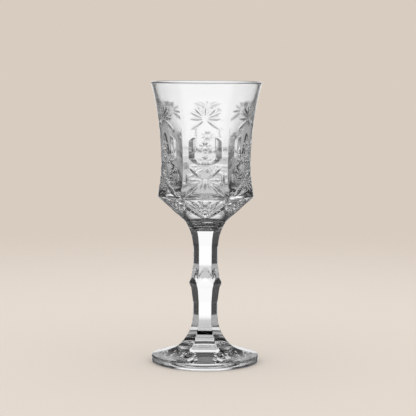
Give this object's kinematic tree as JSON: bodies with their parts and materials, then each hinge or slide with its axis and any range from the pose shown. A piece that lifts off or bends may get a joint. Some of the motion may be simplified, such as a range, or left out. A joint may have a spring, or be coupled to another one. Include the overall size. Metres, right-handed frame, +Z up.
{
  "type": "wine goblet",
  "caption": "Clear pressed-glass stemmed wine goblet: thick bowl of six bulging panels with a star-cut relief, faceted stem with a knop, and a round foot with hollow facets.",
  "frame": {"origin": "centre of the foot's standing ring, on the table", "axes": "+Z up along the goblet's axis, -Y towards the viewer of the picture through the middle of one bowl panel, +X to the viewer's right through the valley between two panels"},
  "size_m": [0.07, 0.07, 0.178],
  "materials": {
    "pressed_glass": "clear, colourless, fire-polished"
  },
  "bodies": {
    "root": {"foot": "pressed_glass", "stem": "pressed_glass", "bowl": "pressed_glass"}
  },
  "joints": []
}
